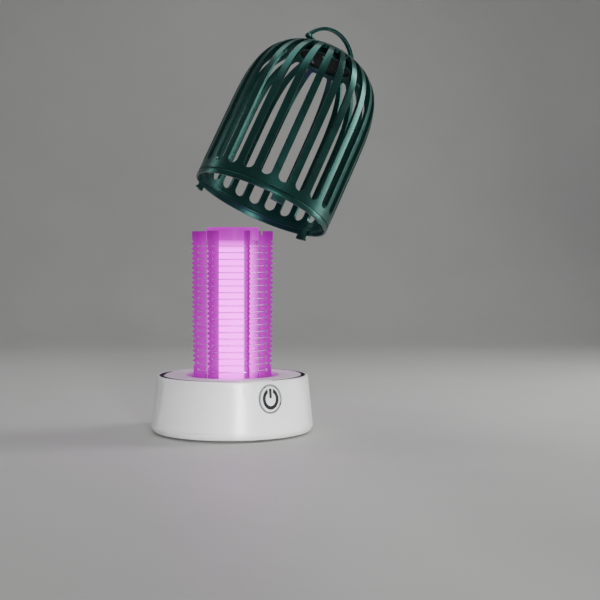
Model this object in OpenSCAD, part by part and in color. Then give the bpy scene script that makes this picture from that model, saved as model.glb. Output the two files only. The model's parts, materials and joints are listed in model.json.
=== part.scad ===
// Electric bug zapper: round base, glowing high-voltage tower and a lift-off birdcage guard.
// Units are millimetres, +Z is up. The origin is the centre of the base on the table.
// The power button faces -Y and the charge socket faces +Y.
// The guard is drawn lifted off and leaning, as it is held above the tower.

/* [Base] */
// widest diameter of the base
base_d = 130; // [110:1:150]
// diameter of the top edge of the base
base_top_d = 121.8; // [105:0.2:140]
// height of the base above the table
base_h = 46; // [36:1:60]
// depth of the groove that takes the guard
groove_depth = 3.5; // [2.5:0.5:5]

/* [Tower] */
// outer diameter of the frosted lamp tube
tube_d = 41; // [30:1:50]
// height of the rib tops above the table
rib_top = 161.6; // [130:0.2:180]
// reach of the rib teeth from the centre line at the top
rib_reach = 33.6; // [28:0.2:38]
// how much less the teeth reach at the bottom
rib_taper = 1.2; // [0:0.1:3]
// thickness of one rib
rib_t = 1.8; // [1.2:0.1:3]
// height of one tooth
tooth_pitch = 3.94; // [3:0.02:6]
// depth of one tooth
tooth_depth = 2.6; // [1:0.1:4]
// number of teeth on each rib
tooth_count = 25; // [10:1:30]
// angle of a rib's blade off the radial direction
rib_skew = 13; // [0:0.5:20]
// distance from one wire to the next
wire_pitch = 5.25; // [4:0.05:8]
// number of wires of both polarities together
wire_count = 20; // [10:2:24]
// wire diameter
wire_d = 0.8; // [0.4:0.1:1.4]

/* [Guard] */
// outer diameter of the guard
guard_d = 115.8; // [100:0.2:130]
// height of the guard without its handle
guard_h = 146.5; // [110:0.5:180]
// wall thickness of the guard
guard_wall = 2.8; // [2:0.1:4]
// height where the wall starts to curve inward
dome_start = 50; // [30:1:100]
// radius of the closed crown
crown_r = 35.5; // [20:0.5:45]
// number of slots around the guard
slot_count = 24; // [12:1:36]
// width of a slot at the wall
slot_w = 9; // [6:0.5:12]
// height of the slot ends above the rim
slot_start = 11.2; // [8:0.2:30]
// angle of the first slot
slot_angle = 0.5; // [-15:0.5:15]
// twist from entering to locked
twist_angle = 15; // [5:1:20]

/* [Held pose] */
// lean of the lifted guard
tilt = 26.5; // [0:0.5:40]
// distance of the swing centre from the centre line
pivot_x = 310.7; // [200:0.1:400]
// height of the swing centre above the table
pivot_z = 59.2; // [40:0.1:90]

/* [Handle] */
// outer radius of the handle arch
arch_r = 30.5; // [20:0.1:34]
// depth of the handle strap
strap_w = 3.4; // [2:0.2:8]
// direction of the handle around the guard
handle_angle = 11.5; // [-90:0.5:90]

/* [Hidden] */
$fn = 72;
rb = base_d / 2;
rt = base_top_d / 2;
zd = base_h - groove_depth;
rg = guard_d / 2;
ri = rg - guard_wall;
tr = tube_d / 2;
z0 = 43.2;
ztube = rib_top - 7.6;
rib_angle = -85.5;
board_angle = -32;
wire_r = 27.8;
hole_x = 27.65;
wire_turn = -atan2((hole_x - tr) * sin(rib_skew), tr + (hole_x - tr) * cos(rib_skew));
wire_top = rib_top - 12.1;
tab_angle = 18;
tab_w = 10;
wall_slope = atan((rb - rt) / (base_h - 7));
btn_z = 32.4;
btn_turn = 4;
btn_r = rt + (base_h - 1.4 - btn_z) / (base_h - 7) * (rb - rt);
hinge_z = zd + 144.5;
arch_z = zd + 164.3 - arch_r;
eye_x = 27;
screw_angles = [62, 118, -62, -118];

// ---------- shared helpers ----------
module in_guard_pose() {
    translate([pivot_x, 0, pivot_z])
        rotate([0, tilt, 0])
            translate([-pivot_x, 0, -pivot_z])
                children();
}

module on_button_face() {
    rotate([0, 0, btn_turn])
        translate([0, -btn_r, btn_z])
            rotate([90 - wall_slope, 0, 0])
                children();
}

// flat oval plate, half width a and half height b, from height lo to height hi
module oval(a, b, lo, hi) {
    translate([0, 0, lo])
        linear_extrude(height = hi - lo)
            scale([a / b, 1])
                circle(r = b, $fn = 48);
}

// ring sector between two radii and two angles
module sector(r1, r2, a1, a2, lo, hi) {
    steps = 6;
    pts_out = [for (i = [0 : steps]) let (a = a1 + (a2 - a1) * i / steps) [r2 * cos(a), r2 * sin(a)]];
    pts_in = [for (i = [0 : steps]) let (a = a2 - (a2 - a1) * i / steps) [r1 * cos(a), r1 * sin(a)]];
    translate([0, 0, lo])
        linear_extrude(height = hi - lo)
            polygon(concat(pts_out, pts_in));
}

// ---------- base ----------
module base_shell() {
    color("#f2f2f0")
    difference() {
        rotate_extrude()
            polygon([[rb - 3.6, 1.4], [rb - 1.4, 2.2], [rb - 0.3, 3.8], [rb, 5.6],
                [rt, base_h - 1.4], [rt - 0.4, base_h - 0.5], [rt - 1, base_h],
                [59, base_h], [58.5, base_h - 0.5], [58.5, 39.6], [57.9, 39.6], [57.9, 38.4],
                [59.2, 36.8], [rb - 2.8, 6], [rb - 2.8, 3.2], [rb - 4.2, 3.2], [rb - 4.2, 1.4]]);
        on_button_face() oval(9.95, 11.35, -8, 6);
        translate([0, rb - 8, 14]) {
            hull() {
                translate([-3.4, 0, 0]) rotate([-90, 0, 0]) cylinder(r = 1.85, h = 12, $fn = 24);
                translate([3.4, 0, 0]) rotate([-90, 0, 0]) cylinder(r = 1.85, h = 12, $fn = 24);
            }
        }
    }
}

module top_deck() {
    color("#eeeeec")
    difference() {
        rotate_extrude()
            polygon([[37, 41.2], [37, base_h - 0.3], [37.4, base_h], [55, base_h], [55.6, base_h - 0.6],
                [55.6, 44], [53.6, 44], [53.6, zd + 0.1], [51.6, zd + 0.1], [51.6, 44],
                [38.8, 44], [38.8, 41.2]]);
        for (k = [0 : 2])
            rotate([0, 0, tab_angle + 120 * k])
                sector(54, 57, -6.8, twist_angle + 6.8, 40, 48);
    }
}

module lock_ring() {
    color("#8c9094")
    difference() {
        rotate_extrude()
            polygon([[50.8, zd - 2.8], [58.3, zd - 2.8], [58.3, zd], [50.8, zd]]);
        for (k = [0 : 2])
            rotate([0, 0, tab_angle + 120 * k]) {
                sector(53.8, 57.95, -6.8, 6.8, 30, 50);
                sector(53.8, 56.5, 5, twist_angle + 6.8, 30, 50);
            }
        for (k = [0 : 2])
            rotate([0, 0, tab_angle + 75 + 120 * k])
                translate([52.4, 0, 30]) cylinder(r = 0.8, h = 20, $fn = 16);
        rotate([0, 0, btn_turn]) translate([-12, -70, 30]) cube([24, 13, 20]);
    }
}

module bottom_cover() {
    color("#d9dadb")
    difference() {
        union() {
            translate([0, 0, 1.4]) cylinder(r = rb - 4.4, h = 1.7);
            for (a = screw_angles)
                rotate([0, 0, a])
                    translate([50, 0, 3]) cylinder(r = 3.6, h = 8, $fn = 24);
            for (x = [-33, 33])
                translate([x, 26, 3]) cylinder(r = 2.6, h = 5.4, $fn = 24);
        }
        for (a = screw_angles)
            rotate([0, 0, a]) {
                translate([50, 0, 0]) cylinder(r = 1.6, h = 20, $fn = 24);
                translate([50, 0, 0]) cylinder(r = 3, h = 2.6, $fn = 24);
            }
        for (k = [-3 : 3])
            translate([k * 5 - 0.9, 28, 0]) cube([1.8, 13, 4]);
        for (k = [0 : 3])
            rotate([0, 0, 90 * k])
                translate([50, 0, 0]) cylinder(r = 6.1, h = 2, $fn = 32);
        cylinder(r = 6.1, h = 2, $fn = 32);
    }
}

module rubber_feet() {
    color("#26282a")
    for (k = [0 : 3])
        rotate([0, 0, 90 * k])
            translate([50, 0, 0]) cylinder(r1 = 5.4, r2 = 6, h = 1.95, $fn = 32);
    color("#26282a")
    cylinder(r1 = 5.4, r2 = 6, h = 1.95, $fn = 32);
}

module cover_screws() {
    color("#8f9295")
    for (a = screw_angles)
        rotate([0, 0, a])
            translate([50, 0, 1.5])
                difference() {
                    union() {
                        cylinder(r = 2.7, h = 1, $fn = 24);
                        cylinder(r = 1.4, h = 8, $fn = 16);
                    }
                    translate([-1.8, -0.25, -1]) cube([3.6, 0.5, 1.5]);
                    translate([-0.25, -1.8, -1]) cube([0.5, 3.6, 1.5]);
                }
}

// ---------- tower ----------
module tower_flange() {
    color("#5c1766")
    difference() {
        rotate_extrude()
            polygon([[0, 39.6], [25, 39.6], [26, 40.4], [36.8, 40.4], [36.8, 43], [24, 43],
                [0, 43]]);
        translate([-9, -9, 30]) cube([18, 18, 20]);
    }
}

module lamp_tube() {
    color("#f7b4ff")
    difference() {
        translate([0, 0, z0]) cylinder(r = tr, h = ztube - z0);
        translate([0, 0, z0 - 1]) cylinder(r = tr - 1.6, h = ztube - z0 + 2);
    }
}

module lamp_board() {
    color("#2e6b4a")
    rotate([0, 0, board_angle])
        translate([-11, -0.8, 43.4]) cube([22, 1.6, ztube - 45.4]);
}

module lamp_leds() {
    color("#f2e6ff")
    for (k = [0 : 5])
        for (s = [-1, 1])
            rotate([0, 0, board_angle])
                translate([0, s * 1.65, 58 + 16 * k])
                    rotate([90, 0, 0])
                        cylinder(r = 2.2, h = 1.6, center = true, $fn = 20);
}

module rib(index) {
    top = rib_top;
    t0 = top - 8.2;
    reach = [for (i = [0 : tooth_count]) rib_reach - rib_taper * i / tooth_count];
    edge = [for (i = [0 : tooth_count - 1]) each [
        [reach[i] - tooth_depth, t0 - tooth_pitch * i],
        [reach[i], t0 - tooth_pitch * (i + 0.42)],
        [reach[i] - 0.3, t0 - tooth_pitch * (i + 0.58)]]];
    low = t0 - tooth_pitch * tooth_count;
    notch = index == 1 || index == 3 ? 3.4 : 0.02;
    outline = concat([[21.3, 43.1], [21.3, top], [22.8, top], [22.8, top - notch], [24.6, top - notch],
        [24.6, top], [rib_reach - 0.8, top], [rib_reach - 0.8, t0 + 0.6]],
        edge, [[reach[tooth_count] - tooth_depth, low], [reach[tooth_count] - 0.8, low - 1.4],
        [reach[tooth_count] - 0.8, 43.1]]);
    rotate([0, 0, rib_angle + 60 * index])
        translate([tr, 0, 0]) rotate([0, 0, -rib_skew]) translate([-tr, 0, 0])
        difference() {
            rotate([90, 0, 0])
                linear_extrude(height = rib_t, center = true)
                    polygon(outline);
            for (k = [0 : wire_count - 1])
                translate([hole_x, 0, wire_top - wire_pitch * k])
                    rotate([90, 0, 0])
                        cylinder(r = 1.3, h = 6, center = true, $fn = 6);
        }
}

module grid_rib_1() { color("#8a2bb0") rib(0); }
module grid_rib_2() { color("#8a2bb0") rib(1); }
module grid_rib_3() { color("#8a2bb0") rib(2); }
module grid_rib_4() { color("#8a2bb0") rib(3); }
module grid_rib_5() { color("#8a2bb0") rib(4); }
module grid_rib_6() { color("#8a2bb0") rib(5); }

module grid_top_cap() {
    color("#9a2fc0")
    rotate_extrude()
        polygon([[0, rib_top + 0.6], [tr - 1.8, rib_top + 0.6], [tr - 1.8, ztube + 0.1],
            [tr + 0.5, ztube + 0.1], [tr + 0.5, rib_top + 2.6], [tr + 0.1, rib_top + 3],
            [0, rib_top + 3]]);
}

// closed six-sided rings of one polarity, joined by one upright rod
module wire_set(first, rod_rib) {
    rotate([0, 0, rib_angle + wire_turn]) {
        for (k = [first : 2 : wire_count - 1])
            translate([0, 0, wire_top - wire_pitch * k])
                rotate_extrude($fn = 6)
                    translate([wire_r, 0])
                        circle(r = wire_d / 2, $fn = 6);
        rotate([0, 0, 60 * rod_rib + 4]) {
            translate([29.2, 0, 43.1])
                cylinder(r = 0.5, h = wire_top - wire_pitch * first - 42.7, $fn = 8);
            for (k = [first : 2 : wire_count - 1])
                translate([26.4, 0, wire_top - wire_pitch * k])
                    rotate([0, 90, 0]) cylinder(r = 0.35, h = 2.8, $fn = 8);
        }
    }
}

module live_wire() { color("#d7c7e8") wire_set(0, 3); }
module return_wire() { color("#cdbfe0") wire_set(1, 2); }

// ---------- inside the base ----------
module control_board() {
    color("#2f7d4f")
    difference() {
        translate([-38, -6, 8.5]) cube([76, 46, 1.6]);
        for (x = [-33, 33])
            translate([x, 26, 5]) cylinder(r = 1.7, h = 10, $fn = 20);
    }
}

module hv_transformer() {
    color("#4a4038")
    union() {
        translate([-28, 4, 10.2]) cube([20, 16, 4]);
        translate([-26, 5.5, 14.2]) cube([16, 13, 9]);
        translate([-28, 4, 23.2]) cube([20, 16, 2.5]);
    }
}

module hv_capacitors() {
    color("#b5642c")
    for (k = [0 : 2])
        translate([6 + 11 * k, 12, 10.2]) cylinder(r = 4.5, h = 15, $fn = 32);
}

module battery_cell() {
    color("#3d6fb0")
    union() {
        translate([-32.5, -23, 14.4]) rotate([0, 90, 0]) cylinder(r = 9.1, h = 63.4, $fn = 40);
        translate([30.9, -23, 14.4]) rotate([0, 90, 0]) cylinder(r = 2.8, h = 1.5, $fn = 24);
    }
}

module battery_holder() {
    color("#2b2c2e")
    difference() {
        translate([-36, -34.5, 3.2]) cube([72, 23, 12]);
        translate([-32.9, -23, 14.4]) rotate([0, 90, 0]) cylinder(r = 9.4, h = 65.6, $fn = 40);
        translate([-32.9, -30, 14]) cube([65.6, 14, 6]);
    }
}

module switch_board() {
    color("#2f7d4f")
    on_button_face()
        translate([-8, -8, -14.6]) cube([16, 14, 1.4]);
}

module push_switch() {
    color("#1d1e20")
    on_button_face() {
        translate([-3, -3, -13.1]) cube([6, 6, 3.2]);
        translate([0, 0, -10]) cylinder(r = 1.7, h = 0.7, $fn = 24);
    }
}

module charge_socket() {
    color("#b9bcc0")
    translate([0, rb - 9.6, 14])
        difference() {
            rotate([-90, 0, 0])
                linear_extrude(height = 7.6)
                    union() {
                        translate([-3.2, 0]) circle(r = 1.65, $fn = 24);
                        translate([3.2, 0]) circle(r = 1.65, $fn = 24);
                        translate([-3.2, -1.65]) square([6.4, 3.3]);
                    }
            translate([0, 1.2, 0])
                rotate([-90, 0, 0])
                    linear_extrude(height = 8)
                        difference() {
                            union() {
                                translate([-3.2, 0]) circle(r = 1.3, $fn = 24);
                                translate([3.2, 0]) circle(r = 1.3, $fn = 24);
                                translate([-3.2, -1.3]) square([6.4, 2.6]);
                            }
                            translate([-3.2, -0.35]) square([6.4, 0.7]);
                        }
        }
}

module button_bezel() {
    color("#a9abad")
    on_button_face()
        difference() {
            oval(9.8, 11.2, -2.5, 0.5);
            oval(8.7, 10.1, -5, 3);
        }
}

module power_button() {
    color("#f4f4f3")
    on_button_face() {
        oval(8.45, 9.85, -2.4, 0.2);
        translate([0, 0, -8.2]) cylinder(r = 2, h = 6, $fn = 24);
    }
}

module power_symbol() {
    color("#141416")
    on_button_face()
        union() {
            difference() {
                oval(6.9, 8.1, 0.2, 0.45);
                oval(4.5, 5.4, 0, 1);
                translate([-2.3, 0, 0]) cube([4.6, 10, 1]);
            }
            translate([-1.1, 0.6, 0.2]) cube([2.2, 7.4, 0.25]);
        }
}

// ---------- guard ----------
// radius of the guard wall at height h above the rim, wall inset w
function wall_r(s, w) = (rg - w) * sqrt(max(0, 1 - pow(s, 4.45)));
function wall_z(s, w) = zd + dome_start + (guard_h - w - dome_start) * s;

module cage_body() {
    curve = [0, 0.3, 0.45, 0.57, 0.67, 0.75, 0.82, 0.87, 0.91, 0.94, 0.962, 0.98, 0.992, 1];
    n = len(curve);
    outer = [for (i = [0 : n - 1]) [wall_r(curve[i], 0), wall_z(curve[i], 0)]];
    inner = [for (i = [0 : n - 1]) [wall_r(curve[n - 1 - i], guard_wall),
        wall_z(curve[n - 1 - i], guard_wall)]];
    in_guard_pose()
    color("#12453f")
    difference() {
        rotate_extrude()
            polygon(concat([[ri, zd + 4.75], [rg, zd + 4.75]], outer, inner));
        for (k = [0 : slot_count - 1])
            rotate([0, 0, slot_angle + 360 / slot_count * k]) {
                translate([0, 0, zd + slot_start + slot_w / 2])
                    linear_extrude(height = 140)
                        polygon([[crown_r, -2.6], [62, -2.6 - (62 - crown_r) * 0.085],
                            [62, 2.6 + (62 - crown_r) * 0.085], [crown_r, 2.6]]);
                translate([50, 0, zd + slot_start + slot_w / 2])
                    rotate([0, 90, 0]) cylinder(r = slot_w / 2 - 0.03, h = 12, $fn = 24);
            }
    }
}

module inner_cap() {
    in_guard_pose()
    color("#0b0c0d")
    rotate_extrude()
        polygon([[0, zd + 134.6], [21.6, zd + 134.6], [22.4, zd + 133], [24, zd + 133],
            [24, zd + 137.4], [20, zd + 138], [8, zd + 138], [8, zd + 142.6], [0, zd + 142.6]]);
}

module cap_screws() {
    in_guard_pose()
    color("#9a9da0")
    for (k = [0 : 2])
        rotate([0, 0, 120 * k])
            translate([14, 0, zd + 133.5])
                difference() {
                    cylinder(r = 2.4, h = 1.05, $fn = 20);
                    translate([-1.6, -0.25, -1]) cube([3.2, 0.5, 1.5]);
                }
}

// solid dome a hair larger than the crown, used to shape what sits on it
module crown_solid() {
    steps = 15;
    edge = [for (i = [0 : steps]) let (r = 30 * (1 - i / steps))
        [r, zd + dome_start + (guard_h + 0.05 - dome_start) * pow(1 - pow(r / rg, 2), 1 / 4.45)]];
    rotate_extrude()
        polygon(concat([[0, zd + 120], [30, zd + 120]], edge));
}

module handle_pivots() {
    in_guard_pose()
    color("#0f3b36")
    rotate([0, 0, handle_angle])
        for (s = [-1, 1]) {
            difference() {
                union() {
                    translate([s * 22.4 - 1.6, -2.2, zd + 139]) cube([3.2, 4.4, hinge_z - zd - 139]);
                    translate([s * 22.4, 0, hinge_z])
                        rotate([0, 90, 0]) cylinder(r = 2.2, h = 3.2, center = true, $fn = 32);
                }
                crown_solid();
            }
            translate([s * 25.9, 0, hinge_z])
                rotate([0, 90, 0]) cylinder(r = 1, h = 4.8, center = true, $fn = 20);
        }
}

module handle() {
    in_guard_pose()
    color("#14504a")
    rotate([0, 0, handle_angle])
        difference() {
            union() {
                difference() {
                    translate([0, 0, arch_z])
                        rotate([90, 0, 0])
                            rotate_extrude()
                                polygon([[arch_r - 2.9, -strap_w / 2 + 0.4],
                                    [arch_r - 2.5, -strap_w / 2], [arch_r - 2, -strap_w / 2],
                                    [arch_r - 2, -strap_w / 2 + 0.5],
                                    [arch_r - 0.9, -strap_w / 2 + 0.5],
                                    [arch_r - 0.9, -strap_w / 2], [arch_r - 0.4, -strap_w / 2],
                                    [arch_r, -strap_w / 2 + 0.4], [arch_r, strap_w / 2 - 0.4],
                                    [arch_r - 0.4, strap_w / 2], [arch_r - 0.9, strap_w / 2],
                                    [arch_r - 0.9, strap_w / 2 - 0.5],
                                    [arch_r - 2, strap_w / 2 - 0.5], [arch_r - 2, strap_w / 2],
                                    [arch_r - 2.5, strap_w / 2], [arch_r - 2.9, strap_w / 2 - 0.4]]);
                    translate([-40, -20, hinge_z - 60]) cube([80, 40, 60]);
                }
                for (s = [-1, 1])
                    translate([s * eye_x, 0, hinge_z])
                        rotate([0, 90, 0]) cylinder(r = 2.2, h = 3, center = true, $fn = 32);
            }
            translate([0, 0, hinge_z])
                rotate([0, 90, 0]) cylinder(r = 1.15, h = 70, center = true, $fn = 20);
        }
}

module lock_collar() {
    in_guard_pose()
    color("#12453f")
    union() {
        rotate_extrude()
            polygon([[56.1, zd + 0.05], [rg - 0.2, zd + 0.05], [rg, zd + 0.3], [rg, zd + 4.5],
                [ri - 0.3, zd + 4.5], [ri - 0.3, zd + 6.8], [ri - 1.3, zd + 6.8],
                [ri - 1.3, zd + 3.7], [56.1, zd + 3.7]]);
        for (k = [0 : 2])
            rotate([0, 0, tab_angle + 120 * k]) {
                sector(54.4, 56.15, -5.2, 5.2, zd - 4.6, zd + 4);
                sector(54.4, 57.4, -5.2, 5.2, zd - 4.6, zd - 3.1);
            }
    }
}

// ---------- drawing ----------
base_shell();
top_deck();
lock_ring();
bottom_cover();
rubber_feet();
cover_screws();
tower_flange();
lamp_tube();
lamp_board();
lamp_leds();
grid_rib_1();
grid_rib_2();
grid_rib_3();
grid_rib_4();
grid_rib_5();
grid_rib_6();
grid_top_cap();
live_wire();
return_wire();
control_board();
hv_transformer();
hv_capacitors();
battery_cell();
battery_holder();
switch_board();
push_switch();
charge_socket();
button_bezel();
power_button();
power_symbol();
cage_body();
inner_cap();
cap_screws();
handle_pivots();
handle();
lock_collar();
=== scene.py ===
import json
import math

import bmesh
import bpy
from mathutils import Matrix, Vector


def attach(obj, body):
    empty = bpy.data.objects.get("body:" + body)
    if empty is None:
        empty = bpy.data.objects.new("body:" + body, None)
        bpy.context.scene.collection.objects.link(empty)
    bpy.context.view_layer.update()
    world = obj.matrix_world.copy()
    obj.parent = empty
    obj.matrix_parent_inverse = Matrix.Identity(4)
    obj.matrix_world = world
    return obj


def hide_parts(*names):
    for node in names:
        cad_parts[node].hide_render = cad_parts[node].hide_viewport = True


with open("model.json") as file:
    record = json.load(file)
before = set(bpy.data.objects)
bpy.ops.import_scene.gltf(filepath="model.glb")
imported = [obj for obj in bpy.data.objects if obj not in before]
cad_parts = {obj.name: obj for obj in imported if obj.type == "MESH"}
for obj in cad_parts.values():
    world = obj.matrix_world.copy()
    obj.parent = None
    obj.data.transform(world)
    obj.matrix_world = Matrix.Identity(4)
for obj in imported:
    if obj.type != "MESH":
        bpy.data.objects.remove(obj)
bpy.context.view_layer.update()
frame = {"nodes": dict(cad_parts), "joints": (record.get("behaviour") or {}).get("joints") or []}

MM = 0.001  # the shapes below are in millimetres, the scene in metres
joints = {j["name"]: j for j in frame["joints"]}
lift = joints["cage_lift"]
pivot = Vector(lift["pos_m"])
tilt = -math.radians(lift["range_deg"][0])
# the guard is built upright and seated, then swung to where the frame holds it
GUARD = Matrix.Translation(pivot) @ Matrix.Rotation(tilt, 4, "Y") @ Matrix.Translation(-pivot)

# base: radius at the foot and at the top edge, height, and the height of the guard's rim when seated
BASE_R, TOP_R, BASE_H = 65.0, 60.9, 46.0
RIM_Z = 42.5
# button: angle round the base, height, and how much longer than wide its oval is on each side
BTN_TURN, BTN_Z, OVAL_EXTRA = 4.0, 32.4, 1.4
# guard: outer radius, wall, height, start of the dome and the power that shapes it
GUARD_R, GUARD_WALL, GUARD_H, DOME, DOME_POWER = 57.9, 2.8, 146.5, 50.0, 4.45
# slots: how many, first angle, width, height of the lower end above the rim, radius where they end
SLOTS, SLOT_A, SLOT_W, SLOT_START, CROWN_R = 24, 0.5, 9.0, 11.2, 35.5
TAB_A, TWIST, TAB_HALF = 18.0, 15.0, 6.8
RIB_A, RIB_SKEW, RIB_TOP = -85.5, 13.0, 161.6
TEETH, TOOTH_PITCH, TOOTH_DEPTH = 25, 3.94, 2.6
TUBE_R, HOLE_X, WIRE_R = 20.5, 27.65, 27.8
WIRE_COUNT, WIRE_PITCH, WIRE_TOP, ROD_R = 20, 5.25, RIB_TOP - 12.1, 29.2
HANDLE_A, EYE_X, EAR_R, PIN_R = 11.5, 27.0, 2.2, 1.0
ARCH_R, STRAP_T = 30.5, 2.9
BOARD_A = -32.0
BUTTON_SEGS = 96
ALONG_X = Matrix(((0, 0, 1, 0), (1, 0, 0, 0), (0, 1, 0, 0), (0, 0, 0, 1)))


# ---------------------------------------------------------------- materials
def node_mat(name):
    m = bpy.data.materials.new(name)
    m.use_nodes = True
    return m, m.node_tree.nodes, m.node_tree.links, m.node_tree.nodes["Principled BSDF"]


def coords(nodes):
    return nodes.new("ShaderNodeTexCoord").outputs["Object"]


def noise(nodes, links, vec, scale, detail=4.0, rough=0.6):
    n = nodes.new("ShaderNodeTexNoise")
    n.inputs["Scale"].default_value = scale
    n.inputs["Detail"].default_value = detail
    n.inputs["Roughness"].default_value = rough
    links.new(vec, n.inputs["Vector"])
    return n.outputs["Fac"]


def ramp(nodes, links, fac, stops):
    """Colour ramp; a stop's colour may be one number for a grey."""
    r = nodes.new("ShaderNodeValToRGB")
    el = r.color_ramp.elements
    while len(el) < len(stops):
        el.new(0.5)
    for e, (p, c) in zip(el, stops):
        c = (c,) * 3 if isinstance(c, (int, float)) else c
        e.position = p
        e.color = (c[0], c[1], c[2], 1.0)
    links.new(fac, r.inputs["Fac"])
    return r.outputs["Color"]


def math_node(nodes, links, op, a, b=None, clamp=False):
    n = nodes.new("ShaderNodeMath")
    n.operation = op
    n.use_clamp = clamp
    for i, v in enumerate((a,) if b is None else (a, b)):
        if isinstance(v, (int, float)):
            n.inputs[i].default_value = v
        else:
            links.new(v, n.inputs[i])
    return n.outputs[0]


def split_axes(nodes, links):
    """X, Y and Z of the point on the object, and its distance from the Z axis."""
    sep = nodes.new("ShaderNodeSeparateXYZ")
    links.new(coords(nodes), sep.inputs["Vector"])
    x, y, z = sep.outputs["X"], sep.outputs["Y"], sep.outputs["Z"]
    x2 = math_node(nodes, links, "MULTIPLY", x, x)
    y2 = math_node(nodes, links, "MULTIPLY", y, y)
    return x, y, z, math_node(nodes, links, "SQRT", math_node(nodes, links, "ADD", x2, y2))


def rise(nodes, links, value, start, span):
    """0 at start, 1 a span further up, held at both ends."""
    return math_node(nodes, links, "DIVIDE", math_node(nodes, links, "SUBTRACT", value, start), span, True)


def scaled(nodes, links, value, gain, offset):
    return math_node(nodes, links, "ADD", math_node(nodes, links, "MULTIPLY", value, gain), offset)


def bump(nodes, links, bsdf, height, strength, dist):
    b = nodes.new("ShaderNodeBump")
    b.inputs["Strength"].default_value = strength
    b.inputs["Distance"].default_value = dist
    links.new(height, b.inputs["Height"])
    links.new(b.outputs["Normal"], bsdf.inputs["Normal"])


def glow_base(bsdf, base, rough, spec):
    bsdf.inputs["Base Color"].default_value = base
    bsdf.inputs["Roughness"].default_value = rough
    bsdf.inputs["Specular IOR Level"].default_value = spec
    bsdf.inputs["Emission Color"].default_value = (1.0, 0.0, 1.0, 1)


def groove_painted_shade(nodes, links, colour):
    """Painted shade: darkens a colour inside the gap between the deck and the shell, where the groove lies
    in shadow.
    """
    z, r = split_axes(nodes, links)[2:]
    inside = rise(nodes, links, r, 0.0550, 0.0003)
    outside = math_node(nodes, links, "DIVIDE", math_node(nodes, links, "SUBTRACT", 0.0590, r), 0.0004, True)
    high = rise(nodes, links, z, 0.0380, 0.001)
    mask = math_node(nodes, links, "MULTIPLY", math_node(nodes, links, "MULTIPLY", inside, outside), high)
    mix = nodes.new("ShaderNodeMix")
    mix.data_type = "RGBA"
    links.new(mask, mix.inputs["Factor"])
    links.new(colour, mix.inputs[6])
    # colour of the painted shade in the groove
    mix.inputs[7].default_value = (0.07, 0.085, 0.075, 1)
    return mix.outputs[2]


def moulded(name, col, vary=0.08, rough=(0.3, 0.4), grain=2600.0, grain_s=0.06, coat=0.0, metallic=0.0,
            spec=0.5, groove_shade=False):
    """Moulded or painted surface: slow colour drift, fine grain and small changes of gloss, and on request
    painted shade in the gap between deck and shell.
    """
    m, n, l, b = node_mat(name)
    v = coords(n)
    slow = noise(n, l, v, 38.0, 3.0)
    fine = noise(n, l, v, grain, 2.0)
    lo = tuple(c * (1 - vary) for c in col)
    hi = tuple(min(1.0, c * (1 + vary)) for c in col)
    col_out = ramp(n, l, slow, [(0.35, lo), (0.65, hi)])
    # painted shade darkens the colour in the groove between deck and shell
    if groove_shade:
        col_out = groove_painted_shade(n, l, col_out)
    l.new(col_out, b.inputs["Base Color"])
    gl = ramp(n, l, noise(n, l, v, 120.0, 4.0), [(0.3, rough[0]), (0.7, rough[1])])
    l.new(gl, b.inputs["Roughness"])
    b.inputs["Metallic"].default_value = metallic
    b.inputs["Specular IOR Level"].default_value = spec
    b.inputs["Coat Weight"].default_value = coat
    b.inputs["Coat Roughness"].default_value = 0.15
    bump(n, l, b, fine, grain_s, 0.0002)
    return m


def glow_rib(name):
    """Translucent violet plastic with a painted glow for the tube's light shining through it: brighter near
    the tube, darker at the teeth and top.
    """
    m, n, l, b = node_mat(name)
    z, r = split_axes(n, l)[2:]
    t = rise(n, l, r, 0.0205, 0.0135)
    stg = ramp(n, l, t, [(0.0, 0.62), (0.25, 0.56), (0.55, 0.40), (0.85, 0.36), (1.0, 0.5)])
    top = math_node(n, l, "DIVIDE", math_node(n, l, "SUBTRACT", 0.1625, z), 0.012, True)
    low = rise(n, l, z, 0.040, 0.014)
    fall = math_node(n, l, "MULTIPLY", scaled(n, l, top, 0.5, 0.5), scaled(n, l, low, 0.35, 0.65))
    drift = noise(n, l, coords(n), 420.0, 5.0)
    fall = math_node(n, l, "MULTIPLY", fall, scaled(n, l, drift, 0.5, 0.75))
    glow_base(b, (0.12, 0.0, 0.14, 1), 0.35, 0.08)
    l.new(math_node(n, l, "MULTIPLY", fall, stg), b.inputs["Emission Strength"])
    bump(n, l, b, noise(n, l, coords(n), 1400.0, 3.0), 0.08, 0.0002)
    return m


def glow_tube(name):
    """Frosted tube: brightest in front of each lamp strip, deeper magenta beside them and at both ends."""
    m, n, l, b = node_mat(name)
    x, y, z = split_axes(n, l)[:3]
    t = rise(n, l, z, 0.0432, 0.1112)
    ends = ramp(n, l, t, [(0.0, 0.42), (0.07, 0.9), (0.5, 1.0), (0.93, 0.95), (0.97, 0.45), (1.0, 0.2)])
    face = math.radians(BOARD_A - 90.0)
    px = math_node(n, l, "MULTIPLY", x, math.cos(face) / 0.0205)
    py = math_node(n, l, "MULTIPLY", y, math.sin(face) / 0.0205)
    side = math_node(n, l, "ABSOLUTE", math_node(n, l, "ADD", px, py))
    stg = ramp(n, l, side, [(0.0, 0.16), (0.35, 0.26), (0.62, 0.5), (0.80, 0.85), (0.92, 1.0)])
    glow_base(b, (0.35, 0.0, 0.4, 1), 0.5, 0.1)
    frost = noise(n, l, coords(n), 900.0, 3.0)
    k = math_node(n, l, "MULTIPLY", math_node(n, l, "MULTIPLY", stg, ends), scaled(n, l, frost, 0.25, 0.88))
    l.new(math_node(n, l, "MULTIPLY", k, 4.6), b.inputs["Emission Strength"])
    bump(n, l, b, frost, 0.1, 0.0002)
    return m


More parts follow.
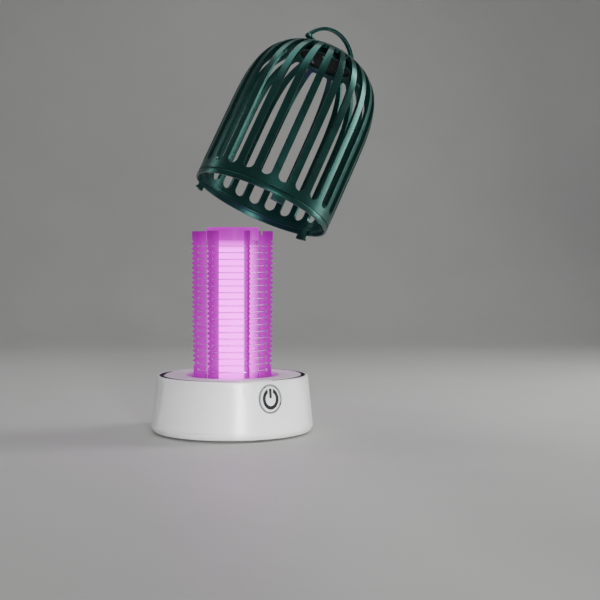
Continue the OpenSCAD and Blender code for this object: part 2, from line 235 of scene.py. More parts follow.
def glow_cap(name):
    """Violet cap on the tower with a painted glow: brightest at its lower edge, where the tube's light
    enters it.
    """
    m, n, l, b = node_mat(name)
    t = rise(n, l, split_axes(n, l)[2], 0.1541, 0.0106)
    drift = noise(n, l, coords(n), 300.0, 3.0)
    t2 = math_node(n, l, "ADD", t, scaled(n, l, drift, 0.1, -0.05))
    stg = ramp(n, l, t2, [(0.0, 0.75), (0.35, 0.58), (0.8, 0.5), (1.0, 0.6)])
    glow_base(b, (0.2, 0.0, 0.24, 1), 0.35, 0.08)
    l.new(stg, b.inputs["Emission Strength"])
    bump(n, l, b, drift, 0.05, 0.0002)
    return m


def wire_mat(name):
    """Bright metal wire with the tube's light painted on: a magenta tint as painted reflection and a faint
    painted magenta glow.
    """
    m, n, l, b = node_mat(name)
    v = coords(n)
    l.new(ramp(n, l, noise(n, l, v, 500.0, 3.0), [(0.3, (0.55, 0.22, 0.58)), (0.7, (0.70, 0.32, 0.74))]),
          b.inputs["Base Color"])
    b.inputs["Metallic"].default_value = 1.0
    b.inputs["Roughness"].default_value = 0.32
    # painted glow standing in for the tube's light on the wire
    b.inputs["Emission Color"].default_value = (1.0, 0.25, 1.0, 1)
    b.inputs["Emission Strength"].default_value = 0.16
    bump(n, l, b, noise(n, l, v, 4000.0, 2.0), 0.1, 0.0001)
    return m


def board_mat(name):
    """Circuit board: solder mask with fine copper tracks."""
    m, n, l, b = node_mat(name)
    v = coords(n)
    w = n.new("ShaderNodeTexBrick")
    w.inputs["Scale"].default_value = 180.0
    w.inputs["Mortar Size"].default_value = 0.03
    w.inputs["Color1"].default_value = (0.02, 0.16, 0.06, 1)
    w.inputs["Color2"].default_value = (0.015, 0.12, 0.05, 1)
    w.inputs["Mortar"].default_value = (0.05, 0.3, 0.12, 1)
    l.new(v, w.inputs["Vector"])
    l.new(w.outputs["Color"], b.inputs["Base Color"])
    b.inputs["Roughness"].default_value = 0.35
    bump(n, l, b, w.outputs["Fac"], 0.2, 0.0002)
    return m


M = {
    # shell and deck both get painted shade in the groove between them
    "white": moulded("white_shell", (0.90, 0.90, 0.90), 0.01, (0.30, 0.36), 3200.0, 0.035, 0.1, groove_shade=True),
    "deck": moulded("white_deck", (0.80, 0.80, 0.80), 0.006, (0.40, 0.42), 3200.0, 0.02, 0.0, groove_shade=True),
    "cover": moulded("cover_plastic", (0.62, 0.62, 0.62), 0.04, (0.45, 0.6), 1800.0, 0.25),
    # lock ring plastic, darkened to paint the shade on the groove's floor
    "grey": moulded("grey_plastic", (0.055, 0.058, 0.06), 0.1, (0.4, 0.55), 2200.0, 0.15),
    "green": moulded("guard_green", (0.024, 0.094, 0.082), 0.10, (0.26, 0.34), 3000.0, 0.025, 0.0, 0.8),
    "handle": moulded("handle_green", (0.021, 0.085, 0.077), 0.10, (0.25, 0.33), 3000.0, 0.025, 0.0, 0.8),
    "black": moulded("gloss_black", (0.003, 0.006, 0.006), 0.1, (0.4, 0.5), 2600.0, 0.03, 0.0, 0.0, 0.12),
    "matte_black": moulded("matte_black", (0.02, 0.02, 0.021), 0.12, (0.5, 0.65), 2000.0, 0.2),
    "rubber": moulded("foot_rubber", (0.018, 0.018, 0.02), 0.15, (0.65, 0.8), 1500.0, 0.4),
    "steel": moulded("plain_steel", (0.5, 0.5, 0.52), 0.1, (0.25, 0.38), 3500.0, 0.1, 0.0, 1.0),
    "bezel": moulded("bezel_grey", (0.30, 0.31, 0.32), 0.05, (0.25, 0.34), 3200.0, 0.04, 0.1, 0.7),
    "symbol": moulded("symbol_black", (0.008, 0.008, 0.009), 0.1, (0.3, 0.4), 3200.0, 0.05),
    "flange": moulded("tower_dish", (0.16, 0.01, 0.19), 0.1, (0.25, 0.35), 2400.0, 0.06, 0.0, 0.0, 0.3),
    "trafo": moulded("transformer_tape", (0.10, 0.085, 0.06), 0.25, (0.4, 0.6), 900.0, 0.3),
    "capacitor": moulded("capacitor_dip", (0.42, 0.16, 0.04), 0.15, (0.15, 0.3), 1500.0, 0.15, 0.4),
    "cell": moulded("battery_wrap", (0.04, 0.12, 0.36), 0.08, (0.2, 0.3), 1200.0, 0.08, 0.3),
    "led": moulded("led_lens", (0.8, 0.7, 0.95), 0.05, (0.1, 0.2), 2000.0, 0.05),
    "rib": glow_rib("rib_violet"),
    "tube": glow_tube("lamp_glow"),
    "cap": glow_cap("top_cap_violet"),
    "wire": wire_mat("grid_wire"),
    "board": board_mat("board_green"),
}


# ---------------------------------------------------------------- mesh helpers
def finish_mesh(name, me, mat, body, smooth=32.0, matrix=None, bevel=0.0, seg=2, bevel_angle=40.0):
    me.materials.clear()
    me.materials.append(M[mat])
    me.shade_smooth()
    me.set_sharp_from_angle(angle=math.radians(smooth))
    if matrix is not None:
        me.transform(matrix)
    o = bpy.data.objects.new(name, me)
    bpy.context.scene.collection.objects.link(o)
    if bevel:
        b = o.modifiers.new("edge", "BEVEL")
        b.width = bevel * MM
        b.segments = seg
        b.limit_method = "ANGLE"
        b.angle_limit = math.radians(bevel_angle)
        b.harden_normals = True
    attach(o, body)
    return o


def from_bm(name, bm):
    bmesh.ops.recalc_face_normals(bm, faces=bm.faces)
    me = bpy.data.meshes.new(name)
    bm.to_mesh(me)
    bm.free()
    return me


def fillet(pts, n=5):
    """Rounds the corners of a closed outline; each point is (r, z, corner radius)."""
    out = []
    k = len(pts)
    for i in range(k):
        p = Vector(pts[i][:2])
        rad = pts[i][2] if len(pts[i]) > 2 else 0.0
        a = Vector(pts[i - 1][:2]) - p
        b = Vector(pts[(i + 1) % k][:2]) - p
        if rad <= 0 or a.length < 1e-6 or b.length < 1e-6:
            out.append((p.x, p.y))
            continue
        ang = a.angle(b)
        if ang < 0.05 or ang > math.pi - 0.02:
            out.append((p.x, p.y))
            continue
        d = min(rad / math.tan(ang / 2), a.length * 0.49, b.length * 0.49)
        rr = d * math.tan(ang / 2)
        c = p + (a.normalized() + b.normalized()).normalized() * (rr / math.sin(ang / 2))
        s, e = p + a.normalized() * d - c, p + b.normalized() * d - c
        a0, a1 = math.atan2(s.y, s.x), math.atan2(e.y, e.x)
        da = (a1 - a0 + math.pi) % (2 * math.pi) - math.pi
        for j in range(n + 1):
            t = a0 + da * j / n
            out.append((c.x + rr * math.cos(t), c.y + rr * math.sin(t)))
    return out


def skin(bm, a, b):
    """Joins two closed rings of the same count with a band of faces."""
    k = len(a)
    for i in range(k):
        bm.faces.new((a[i], a[(i + 1) % k], b[(i + 1) % k], b[i]))


def circle(n):
    """Angles of n points evenly round a circle."""
    return [2 * math.pi * i / n for i in range(n)]


def lathe(name, outline, segs=160):
    """Revolves a closed outline in mm round Z."""
    bm = bmesh.new()
    rings = []
    for r, z in outline:
        if r < 1e-4:
            rings.append([bm.verts.new((0, 0, z * MM))])
        else:
            rings.append([bm.verts.new((r * MM * math.cos(t), r * MM * math.sin(t), z * MM))
                          for t in circle(segs)])
    k = len(rings)
    for j in range(k):
        a, b = rings[j], rings[(j + 1) % k]
        if len(a) == 1 and len(b) == 1:
            continue
        for i in range(segs):
            i2 = (i + 1) % segs
            if len(a) == 1:
                bm.faces.new((a[0], b[i2], b[i]))
            elif len(b) == 1:
                bm.faces.new((a[i], a[i2], b[0]))
            else:
                bm.faces.new((a[i], a[i2], b[i2], b[i]))
    return from_bm(name, bm)


def prism(name, loop, lo, hi, matrix=None):
    """Straight prism of a 2D loop in mm from height lo to hi."""
    bm = bmesh.new()
    a = [bm.verts.new((x * MM, y * MM, lo * MM)) for x, y in loop]
    b = [bm.verts.new((x * MM, y * MM, hi * MM)) for x, y in loop]
    bm.faces.new(list(reversed(a)))
    bm.faces.new(b)
    skin(bm, a, b)
    if matrix is not None:
        bm.transform(matrix)
    return from_bm(name, bm)


def arc(r, a1, a2, steps):
    """Points on a circle of radius r from angle a1 to a2, in degrees."""
    angles = [math.radians(a1 + (a2 - a1) * i / steps) for i in range(steps + 1)]
    return [(r * math.cos(t), r * math.sin(t)) for t in angles]


def sector_loop(r1, r2, a1, a2, steps=14):
    return arc(r2, a1, a2, steps) + arc(r1, a2, a1, steps)


def oval_loop(a, b, n=72):
    return [(a * math.cos(t), b * math.sin(t)) for t in circle(n)]


def plate(name, splines, thick, bevel, res=3):
    """Flat plate in the XY plane from an outline and its holes, with rounded edges."""
    cu = bpy.data.curves.new(name, "CURVE")
    cu.dimensions = "2D"
    cu.fill_mode = "BOTH"
    cu.extrude = (thick / 2 - bevel) * MM
    cu.bevel_depth = bevel * MM
    cu.bevel_resolution = res
    cu.offset = -bevel * MM
    for pts in splines:
        s = cu.splines.new("POLY")
        s.points.add(len(pts) - 1)
        for p, (x, y) in zip(s.points, pts):
            p.co = (x * MM, y * MM, 0, 1)
        s.use_cyclic_u = True
    o = bpy.data.objects.new(name + "_curve", cu)
    bpy.context.scene.collection.objects.link(o)
    bpy.context.view_layer.update()
    me = bpy.data.meshes.new_from_object(o.evaluated_get(bpy.context.evaluated_depsgraph_get()))
    bpy.data.objects.remove(o)
    bpy.data.curves.remove(cu)
    me.name = name
    return me


def cut(me, cutters):
    """Cuts meshes out of me and returns the new mesh."""
    o = bpy.data.objects.new("cut_body", me)
    bpy.context.scene.collection.objects.link(o)
    tools = []
    for i, c in enumerate(cutters):
        t = bpy.data.objects.new("cut_tool_%d" % i, c)
        bpy.context.scene.collection.objects.link(t)
        tools.append(t)
        b = o.modifiers.new("cut_%d" % i, "BOOLEAN")
        b.operation = "DIFFERENCE"
        b.solver = "EXACT"
        b.object = t
    bpy.context.view_layer.update()
    out = bpy.data.meshes.new_from_object(o.evaluated_get(bpy.context.evaluated_depsgraph_get()))
    for t in tools + [o]:
        bpy.data.objects.remove(t)
    return out


# ---------------------------------------------------------------- base
slope = math.atan((BASE_R - TOP_R) / (BASE_H - 7.0))


def wall(z):
    """Radius of the sloped wall at height z."""
    return TOP_R + (BASE_H - 1.4 - z) / (BASE_H - 7.0) * (BASE_R - TOP_R)


# from flat, with the oval's long side along Y, onto the sloped wall
FACE = (Matrix.Rotation(math.radians(BTN_TURN), 4, "Z")
        @ Matrix.Translation((0, -wall(BTN_Z) * MM, BTN_Z * MM))
        @ Matrix.Rotation(math.pi / 2 - slope, 4, "X"))

walls = [(wall(z), z, 0) for z in (9, 12, 15, 18, 21, 24, 27, 30, 33, 36, 39, 42)]
shell = fillet([(61.4, 1.4, 0.3), (63.5, 1.9, 1.6), (65.0, 5.2, 2.2), (wall(6.9), 6.9, 0.12),
                (wall(6.9) - 0.28, 7.0, 0.08), (wall(7.4) - 0.28, 7.3, 0.08), (wall(7.4), 7.4, 0.12)]
               + walls +
               [(60.75, 46.0, 1.5), (58.6, 46.0, 0.5), (58.55, 39.6, 0), (57.9, 39.6, 0), (57.9, 38.4, 0),
                (59.2, 36.8, 0), (61.9, 9.0, 0), (62.2, 6.0, 0), (62.2, 3.2, 0), (60.8, 3.2, 0)], 6)
shell_me = lathe("shell", shell, 192)
socket_hole = sorted([(3.4 + 1.85 * math.cos(t), 1.85 * math.sin(t)) for t in
                      [math.radians(a) for a in range(-90, 91, 15)]], key=lambda p: p[1])
socket_hole += [(-x, y) for x, y in reversed(socket_hole)]
shell_me = cut(shell_me, [
    prism("btn_cut", oval_loop(9.95, 9.95 + OVAL_EXTRA, 64), -8, 6, FACE),
    prism("socket_cut", socket_hole, 50, 75,
          Matrix.Translation((0, 0, 14 * MM)) @ Matrix.Rotation(-math.pi / 2, 4, "X")),
])
shell_o = finish_mesh("white_shell", shell_me, "white", "base", 28)
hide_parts("base_shell")

deck = fillet([(37.0, 41.2, 0), (37.0, 46.0, 0.7), (45, 46.0, 0), (55.6, 46.0, 0.5), (55.6, 44.0, 0.2),
               (53.6, 44.0, 0), (53.6, 42.6, 0), (51.6, 42.6, 0), (51.6, 44.0, 0), (38.8, 44.0, 0),
               (38.8, 41.2, 0)], 5)
deck_me = cut(lathe("deck", deck, 192), [
    prism("notch_%d" % k,
          sector_loop(54.0, 57.5, TAB_A + 120 * k - TAB_HALF, TAB_A + 120 * k + TWIST + TAB_HALF), 40, 48)
    for k in range(3)])
deck_o = finish_mesh("upper_deck", deck_me, "deck", "base", 30)
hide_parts("top_deck")

dish = fillet([(0, 39.6), (25, 39.6, 0.3), (26, 40.4, 0.3), (36.8, 40.4, 0.3), (36.8, 43.0, 0.3),
               (34.6, 43.0, 0.2), (34.2, 42.6, 0.2), (29.4, 42.6, 0.2), (29.0, 43.0, 0.2), (0, 43.0)], 4)
flange_me = lathe("dish", dish, 144)
flange_o = finish_mesh("tower_dish", flange_me, "flange", "base", 30)
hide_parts("tower_flange")


# button, bezel and power mark, each built flat and set on the sloped wall
def oval_ring(bm, r, extra, z):
    return [bm.verts.new((r * math.cos(t) * MM, (r + extra) * math.sin(t) * MM, z * MM))
            for t in circle(BUTTON_SEGS)]


bm = bmesh.new()
prof = fillet([(9.8, -2.5, 0), (9.8, 0.5, 0.35), (8.7, 0.5, 0.35), (8.7, -2.5, 0)], 5)
rings = [oval_ring(bm, r, OVAL_EXTRA, z) for r, z in prof]
for a, b in zip(rings, rings[1:] + rings[:1]):
    skin(bm, a, b)
bezel_o = finish_mesh("button_ring", from_bm("bezel", bm), "bezel", "base", 40, FACE)
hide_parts("button_bezel")

bm = bmesh.new()
rows = [(8.45, -2.4), (8.45, -0.35), (8.38, -0.1), (8.15, 0.08), (7.8, 0.16), (6.5, 0.19),
        (4.5, 0.2), (2.2, 0.2)]
rings = [oval_ring(bm, r, OVAL_EXTRA * min(1, r / 6), z) for r, z in rows]
for a, b in zip(rings, rings[1:]):
    skin(bm, a, b)
bm.faces.new(rings[-1])
bm.faces.new(list(reversed(rings[0])))
stem = [[bm.verts.new((2 * MM * math.cos(t), 2 * MM * math.sin(t), z * MM)) for t in circle(32)]
        for z in (-8.2, -2.3)]
skin(bm, stem[0], stem[1])
bm.faces.new(list(reversed(stem[0])))
bm.faces.new(stem[1])
button_o = finish_mesh("power_push", from_bm("button", bm), "white", "button", 35, FACE)
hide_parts("power_button")

outer_arc = [(6.9 * math.sin(t), 8.1 * math.cos(t)) for t in
             [math.radians(20 + 320 * i / 60) for i in range(61)]]
inner_arc = [(4.4 * math.sin(t), 5.3 * math.cos(t)) for t in
             [math.radians(30 + 300 * i / 60) for i in range(61)]]
bar = [(-0.6, 0.6), (0.6, 0.6), (1.1, 1.1), (1.1, 7.5), (0.6, 8.0), (-0.6, 8.0), (-1.1, 7.5), (-1.1, 1.1)]
mark_me = plate("mark", [outer_arc + list(reversed(inner_arc)), bar], 0.26, 0.06)
mark_me.transform(Matrix.Translation((0, 0, 0.32 * MM)))
mark_o = finish_mesh("power_mark", mark_me, "symbol", "button", 35, FACE)
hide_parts("power_symbol")

# ---------------------------------------------------------------- tower
tube = [(TUBE_R, z) for z in (43.2, 60, 80, 100, 120, 140, 154)] + [(18.9, 154.0), (18.9, 43.2)]
tube_me = lathe("tube", tube, 160)
tube_o = finish_mesh("frosted_tube", tube_me, "tube", "base", 30)
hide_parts("lamp_tube")

cap = fillet([(0, 162.2), (18.7, 162.2, 0), (18.7, 154.1, 0), (21.0, 154.1, 0.3), (21.0, 164.6, 0.7),
              (17.0, 164.6, 0.4), (16.6, 164.2, 0.3), (0, 164.2)], 5)
cap_me = lathe("cap", cap, 160)
cap_o = finish_mesh("tower_cap", cap_me, "cap", "base", 30)
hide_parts("grid_top_cap")

# ribs: saw teeth down the outer edge, a row of wire holes, and a notch in the top of two of them
reach = [33.6 - 1.2 * i / TEETH for i in range(TEETH + 1)]
first_tooth = RIB_TOP - 8.2
low = first_tooth - TOOTH_PITCH * TEETH
holes = [[(HOLE_X + 1.1 * math.cos(t), WIRE_TOP - WIRE_PITCH * k + 1.1 * math.sin(t)) for t in circle(14)]
         for k in range(WIRE_COUNT)]
for k in range(6):
    outline = [(21.3, 43.1), (21.3, RIB_TOP)]
    if k in (1, 3):
        outline += [(22.8, RIB_TOP), (22.8, RIB_TOP - 3.4), (24.6, RIB_TOP - 3.4), (24.6, RIB_TOP)]
    outline += [(32.4, RIB_TOP), (32.8, RIB_TOP - 0.4), (32.8, first_tooth + 0.6)]
    for i in range(TEETH):
        outline += [(reach[i] - TOOTH_DEPTH, first_tooth - TOOTH_PITCH * i),
                    (reach[i] - 0.05, first_tooth - TOOTH_PITCH * (i + 0.43)),
                    (reach[i] - 0.05, first_tooth - TOOTH_PITCH * (i + 0.51))]
    outline += [(reach[TEETH] - TOOTH_DEPTH, low), (reach[TEETH] - 0.8, low - 1.4),
                (reach[TEETH] - 0.8, 43.1)]
    me = plate("rib", [outline] + holes, 1.8, 0.1, 2)
    me.transform(Matrix.Translation((-TUBE_R * MM, 0, 0)))
    me.transform(Matrix.Rotation(math.radians(-RIB_SKEW), 4, "Z") @ Matrix.Rotation(math.pi / 2, 4, "X"))
    me.transform(Matrix.Rotation(math.radians(RIB_A + 60 * k), 4, "Z")
                 @ Matrix.Translation((TUBE_R * MM, 0, 0)))
    o = finish_mesh("toothed_rib_%d" % (k + 1), me, "rib", "base", 30)
    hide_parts("grid_rib_%d" % (k + 1))
skew = math.radians(RIB_SKEW)
# the ribs lean round by the skew, so the holes sit a little behind the ribs' own angles
WIRE_TURN = -math.degrees(math.atan2((HOLE_X - TUBE_R) * math.sin(skew),
                                     TUBE_R + (HOLE_X - TUBE_R) * math.cos(skew)))


def wires(name, first, rod_rib, node):
    """Every second wire ring from the first, bent at each rib, with a short link to one upright rod."""
    cu = bpy.data.curves.new(name, "CURVE")
    cu.dimensions = "3D"
    cu.bevel_depth = 0.38 * MM
    cu.bevel_resolution = 3

    def line(points, radius=1.0):
        sp = cu.splines.new("POLY")
        sp.points.add(len(points) - 1)
        for p, (x, y, z) in zip(sp.points, points):
            p.co = (x * MM, y * MM, z * MM, 1)
            p.radius = radius
        return sp

    rod = math.radians(RIB_A + WIRE_TURN + 60 * rod_rib + 4)
    for k in range(first, WIRE_COUNT, 2):
        z = WIRE_TOP - WIRE_PITCH * k
        pts = []
        for c in range(6):
            for d in (-1.3, 0, 1.3):
                a = math.radians(RIB_A + WIRE_TURN + 60 * c + d)
                r = WIRE_R * math.cos(math.pi / 6) / math.cos(math.radians(30 - abs(d)))
                r -= 0.0 if d else 0.16
                pts.append((r * math.cos(a), r * math.sin(a), z))
        line(pts).use_cyclic_u = True
        line([(r * math.cos(rod), r * math.sin(rod), z) for r in (26.5, ROD_R)])
    line([(ROD_R * math.cos(rod), ROD_R * math.sin(rod), z)
          for z in (43.2, WIRE_TOP - WIRE_PITCH * first + 0.3)], 1.25)
    cu.materials.append(M["wire"])
    o = bpy.data.objects.new(name, cu)
    bpy.context.scene.collection.objects.link(o)
    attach(o, "base")
    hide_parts(node)


wires("wires_live", 0, 3, "live_wire")
wires("wires_return", 1, 2, "return_wire")


# ---------------------------------------------------------------- guard
def wall_r(s, w):
    return (GUARD_R - w) * math.sqrt(max(0.0, 1 - s ** DOME_POWER))


def wall_z(s, w):
    return RIM_Z + DOME + (GUARD_H - w - DOME) * s


def wall_s(r):
    """How far up the dome, from 0 to 1, its outer face has radius r."""
    return (1 - (r / GUARD_R) ** 2) ** (1 / DOME_POWER)


def half(r):
    """Half width of a slot where the outer face has radius r."""
    return 2.6 + (r - CROWN_R) * 0.085


z_c = RIM_Z + SLOT_START + SLOT_W / 2
z_bottom = RIM_Z + 4.75
# rows from the rim to the crown: (outer r, outer z, inner r, inner z, slot half width)
rows = []


def side_row(z, width):
    rows.append((GUARD_R, z, GUARD_R - GUARD_WALL, z, width))


def dome_row(s, width):
    rows.append((wall_r(s, 0), wall_z(s, 0), wall_r(s, GUARD_WALL), wall_z(s, GUARD_WALL), width))


for z in (z_bottom, 48.6, 50.3, 52.0):
    side_row(z, 0.0)
for i in range(13):
    t = math.radians(90 * i / 12)
    side_row(z_c - SLOT_W / 2 * math.cos(t), SLOT_W / 2 * math.sin(t))
for z in (62, 67, 72, 77, 82, 87, 92.49):
    side_row(z, half(GUARD_R))
svals = [0.06 * i for i in range(1, 13)]
r_from = wall_r(svals[-1], 0)
svals += [wall_s(r_from + (CROWN_R + 2.2 - r_from) * i / 14) for i in range(1, 15)]
for s in svals:
    dome_row(s, half(wall_r(s, 0)))
for i in range(1, 9):
    t = math.radians(90 * i / 8)
    r = CROWN_R + 2.2 - 2.2 * math.sin(t)
    dome_row(wall_s(r), half(r) * (max(0.0, math.cos(t)) ** 0.6 if i < 8 else 0.0))
for r in (34.5, 32, 29, 26, 22, 18, 14, 10, 6, 3, 1):
    dome_row(wall_s(r), 0.0)
rows.append((0.0, RIM_Z + GUARD_H, 0.0, RIM_Z + GUARD_H - GUARD_WALL, 0.0))

# one bar at a time, each from slot to slot; they meet at the rim and the crown
bm = bmesh.new()
COLS = 6
STEP = 360.0 / SLOTS
for k in range(SLOTS):
    mid = math.radians(SLOT_A + STEP * (k + 0.5))
    grid = []
    for ro, zo, ri, zi, w in rows:
        line = []
        for r, z in ((ro, zo), (ri, zi)):
            h = math.radians(STEP / 2) - (math.asin(min(1.0, w / r)) if r > 0.5 else 0.0)
            line.append([bm.verts.new((r * MM * math.cos(mid + h * (2 * c / COLS - 1)),
                                       r * MM * math.sin(mid + h * (2 * c / COLS - 1)), z * MM))
                         for c in range(COLS + 1)])
        grid.append(line)
    for j in range(len(rows) - 1):
        for c in range(COLS):
            o0, o1, i0, i1 = grid[j][0], grid[j + 1][0], grid[j][1], grid[j + 1][1]
            bm.faces.new((o0[c], o0[c + 1], o1[c + 1], o1[c]))
            bm.faces.new((i0[c + 1], i0[c], i1[c], i1[c + 1]))
        if rows[j][4] > 0 or rows[j + 1][4] > 0:
            for c in (0, COLS):
                bm.faces.new((grid[j][0][c], grid[j + 1][0][c], grid[j + 1][1][c], grid[j][1][c]))
    for c in range(COLS):
        bm.faces.new((grid[0][0][c], grid[0][1][c], grid[0][1][c + 1], grid[0][0][c + 1]))
bmesh.ops.remove_doubles(bm, verts=bm.verts, dist=0.00001)
bmesh.ops.dissolve_degenerate(bm, edges=bm.edges, dist=0.000005)
cage_o = finish_mesh("birdcage", from_bm("birdcage", bm), "green", "guard", 38, GUARD, 0.6, 3, 42)
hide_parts("cage_body")

ri = GUARD_R - GUARD_WALL
collar = fillet([(56.1, RIM_Z + 0.05, 0.25), (GUARD_R, RIM_Z + 0.05, 0.5), (GUARD_R, RIM_Z + 4.5, 0.6),
                 (ri - 0.3, RIM_Z + 4.5, 0.1), (ri - 0.3, RIM_Z + 6.8, 0.2), (ri - 1.3, RIM_Z + 6.8, 0.2),
                 (ri - 1.3, RIM_Z + 3.7, 0.3), (56.1, RIM_Z + 3.7, 0.3)], 4)
collar_me = lathe("collar", collar, 192)
collar_o = finish_mesh("rim_collar", collar_me, "green", "collar", 32, GUARD)
bm = bmesh.new()
for k in range(3):
    a = TAB_A + 120 * k
    for loop, lo, hi in ((sector_loop(54.4, 56.15, a - 5.2, a + 5.2, 8), RIM_Z - 4.6, RIM_Z + 4.0),
                         (sector_loop(54.4, 57.4, a - 5.2, a + 5.2, 8), RIM_Z - 4.6, RIM_Z - 3.1)):
        me = prism("tab", loop, lo, hi)
        bm.from_mesh(me)
        bpy.data.meshes.remove(me)
tabs_o = finish_mesh("lock_tabs", from_bm("tabs", bm), "green", "collar", 32, GUARD, 0.22, 3, 40)
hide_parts("lock_collar")

# the disc under the crown, and the lip round it
under = fillet([(0, RIM_Z + 134.6), (21.9, RIM_Z + 134.6, 0.3), (21.9, RIM_Z + 136.0, 0.1),
                (23.3, RIM_Z + 136.0, 0.3), (23.3, RIM_Z + 137.4, 0.4), (20, RIM_Z + 138, 0.3),
                (8, RIM_Z + 138, 0.4), (8, RIM_Z + 142.6, 0), (0, RIM_Z + 142.6)], 5)
under_me = lathe("under_cap", under, 144)
under_o = finish_mesh("inner_disc", under_me, "black", "guard", 32, GUARD)
lip = fillet([(22.0, RIM_Z + 136.0, 0.2), (22.0, RIM_Z + 134.4, 0.3), (22.6, RIM_Z + 133, 0.45),
              (24, RIM_Z + 133, 0.5), (24, RIM_Z + 137.4, 0.5), (23.4, RIM_Z + 137.4, 0.2),
              (23.4, RIM_Z + 136.0, 0.1)], 5)
lip_me = lathe("under_lip", lip, 144)
lip_o = finish_mesh("inner_lip", lip_me, "handle", "guard", 32, GUARD)
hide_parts("inner_cap")

# handle: a strap swept round its arch, with an eye at each foot
hinge_z = RIM_Z + 144.5
arch_z = RIM_Z + 164.3 - ARCH_R
mid_r = ARCH_R - STRAP_T / 2
cut_a = math.asin((hinge_z - arch_z) / mid_r)
# the strap's section, with a shallow groove along both faces
sec = fillet([(-1.45, -1.7, 0.4), (-0.55, -1.7, 0.15), (-0.5, -1.25, 0.1), (0.5, -1.25, 0.1),
              (0.55, -1.7, 0.15), (1.45, -1.7, 0.4), (1.45, 1.7, 0.4), (0.55, 1.7, 0.15),
              (0.5, 1.25, 0.1), (-0.5, 1.25, 0.1), (-0.55, 1.7, 0.15), (-1.45, 1.7, 0.4)], 4)
bm = bmesh.new()
rings = []
for i in range(73):
    t = cut_a + (math.pi - 2 * cut_a) * i / 72
    rings.append([bm.verts.new(((mid_r + u) * math.cos(t) * MM, v * MM,
                                (arch_z + (mid_r + u) * math.sin(t)) * MM)) for u, v in sec])
for a, b in zip(rings, rings[1:]):
    skin(bm, a, b)
bm.faces.new(rings[0])
bm.faces.new(list(reversed(rings[-1])))
for s in (-1, 1):
    prof = fillet([(1.15, EYE_X - 1.5, 0), (EAR_R, EYE_X - 1.5, 0.35), (EAR_R, EYE_X + 1.5, 0.35),
                   (1.15, EYE_X + 1.5, 0)], 4)
    rings = [[bm.verts.new((s * x * MM, r * math.cos(t) * MM, (hinge_z + r * math.sin(t)) * MM))
              for t in circle(40)] for r, x in prof]
    for a, b in zip(rings, rings[1:] + rings[:1]):
        skin(bm, a, b)
TURN = Matrix.Rotation(math.radians(HANDLE_A), 4, "Z")
me = from_bm("handle_arch", bm)
me.transform(TURN)
handle_o = finish_mesh("carry_arch", me, "handle", "handle_arch", 35, GUARD)
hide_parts("handle")


def crown_z(x, y):
    """Height of the crown's outer face, a hair higher so that nothing sinks into it."""
    return RIM_Z + DOME + (GUARD_H + 0.02 - DOME) * wall_s(math.hypot(x, y))


bm = bmesh.new()
for s in (-1, 1):
    x0, x1 = (20.8, 24.0) if s > 0 else (-24.0, -20.8)
    ear = [(-EAR_R, crown_z(24, EAR_R)), (0, crown_z(24, 0)), (EAR_R, crown_z(24, EAR_R))]
    ear += [(y, hinge_z + z) for y, z in arc(EAR_R, 0, 180, 15)]
    me = prism("ear", ear, x0, x1, ALONG_X)
    for v in me.vertices:
        if v.co.z < (hinge_z - 1) * MM:
            v.co.z = crown_z(v.co.x / MM, v.co.y / MM) * MM
    bm.from_mesh(me)
    bpy.data.meshes.remove(me)
    pin = [(PIN_R * math.cos(t), hinge_z + PIN_R * math.sin(t)) for t in circle(24)]
    me = prism("pin", pin, s * 25.9 - 2.4, s * 25.9 + 2.4, ALONG_X)
    bm.from_mesh(me)
    bpy.data.meshes.remove(me)
me = from_bm("ears", bm)
me.transform(TURN)
ears_o = finish_mesh("handle_ears", me, "green", "guard", 35, GUARD, 0.2, 2, 40)
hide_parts("handle_pivots")

# ---------------------------------------------------------------- parts inside and underneath
# these keep the meshes the frame made from the CAD, and only take a material here
# the lock ring takes the darkened grey, painted shade for the groove floor
keep = {"lock_ring": "grey", "bottom_cover": "cover", "rubber_feet": "rubber", "cover_screws": "steel",
        "lamp_board": "board", "lamp_leds": "led", "control_board": "board", "hv_transformer": "trafo",
        "hv_capacitors": "capacitor", "battery_cell": "cell", "battery_holder": "matte_black",
        "switch_board": "board", "push_switch": "matte_black", "charge_socket": "steel",
        "cap_screws": "steel"}
for node, mat in keep.items():
    o = frame["nodes"][node]
    o.data.materials.clear()
    o.data.materials.append(M[mat])

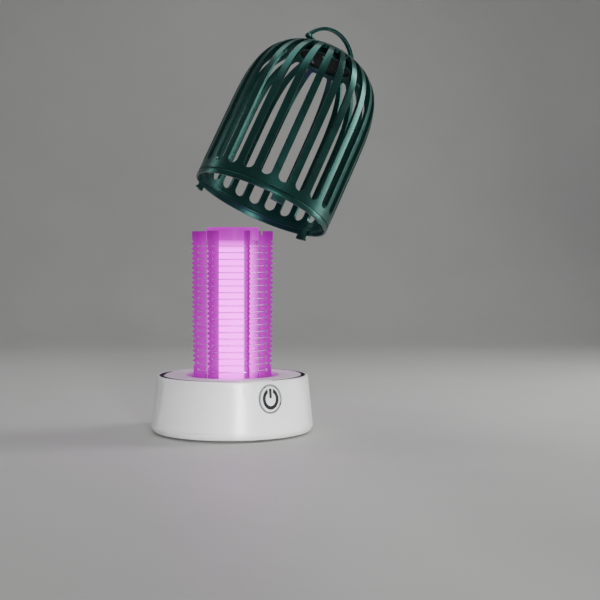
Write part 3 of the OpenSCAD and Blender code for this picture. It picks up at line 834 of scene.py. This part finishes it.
# ---------------------------------------------------------------- floor, light, camera
# the camera looks along fwd, and the floor curves up behind the object into a backdrop
bm = bmesh.new()
prof = [(-1.6, 0.0), (0.9, 0.0)]
prof += [(0.9 + 0.5 * math.sin(math.radians(a)), 0.5 - 0.5 * math.cos(math.radians(a)))
         for a in range(10, 91, 10)]
prof += [(1.4, 1.9)]
right = Vector((0.891, -0.454, 0.0))
fwd = Vector((0.454, 0.891, 0.0))
line = []
for d, z in prof:
    line.append([bm.verts.new(fwd * d + right * u + Vector((0, 0, z))) for u in (-2.4, 2.4)])
for a, b in zip(line, line[1:]):
    bm.faces.new((a[0], a[1], b[1], b[0]))
me = from_bm("floor", bm)
me.shade_smooth()
fm, n, l, b = node_mat("floor_matte")
grain = noise(n, l, coords(n), 6.0, 3.0)
l.new(ramp(n, l, grain, [(0.3, (0.52, 0.52, 0.51)), (0.7, (0.55, 0.55, 0.54))]), b.inputs["Base Color"])
b.inputs["Roughness"].default_value = 0.6
floor = bpy.data.objects.new("floor", me)
floor.data.materials.append(fm)
bpy.context.scene.collection.objects.link(floor)


def area_light(name, pos, target, size, power, col=(1, 1, 1), size_y=None):
    d = bpy.data.lights.new(name, "AREA")
    d.energy = power
    d.color = col
    d.size = size
    if size_y:
        d.shape = "RECTANGLE"
        d.size_y = size_y
    o = bpy.data.objects.new(name, d)
    bpy.context.scene.collection.objects.link(o)
    o.location = pos
    o.rotation_euler = (Vector(target) - Vector(pos)).to_track_quat("-Z", "Y").to_euler()
    return o


def at(f, r, z):
    """Place given as metres ahead of the object as the camera looks, to its right, and up."""
    return fwd * f + right * r + Vector((0, 0, z))


area_light("key", at(0.22, 0.8, 0.42), (0.05, 0, 0.17), 0.26, 6.5, (1, 0.99, 0.97), 0.9)
area_light("rim_left", at(0.35, -0.9, 0.40), (0.02, 0, 0.17), 0.16, 1.6, (0.96, 0.98, 1.0), 0.8)
area_light("front", at(-1.5, 0.35, 0.10), (0.0, 0, 0.06), 0.45, 12.0)
base_fill = area_light("base_fill", at(-1.0, 0.25, 0.10), (0.0, 0, 0.006), 0.12, 0.06)
base_fill.data.spread = math.radians(10)
area_light("top", at(0.1, 0.0, 1.1), (0, 0, 0.1), 0.9, 5.0)
w = bpy.data.worlds.new("studio")
w.use_nodes = True
w.node_tree.nodes["Background"].inputs["Color"].default_value = (0.9, 0.93, 0.95, 1)
w.node_tree.nodes["Background"].inputs["Strength"].default_value = 0.14
bpy.context.scene.world = w

cam_d = bpy.data.cameras.new("camera")
cam = bpy.data.objects.new("camera", cam_d)
bpy.context.scene.collection.objects.link(cam)
cam_d.sensor_width = 36.0
cam_d.lens = 74.22
cam_d.shift_y = -0.0867
cam_d.clip_start = 0.05
cam_d.clip_end = 20.0
cam.location = at(-1.0, 0.0546, 0.148)
cam.rotation_euler = fwd.to_track_quat("-Z", "Y").to_euler()
bpy.context.scene.camera = cam
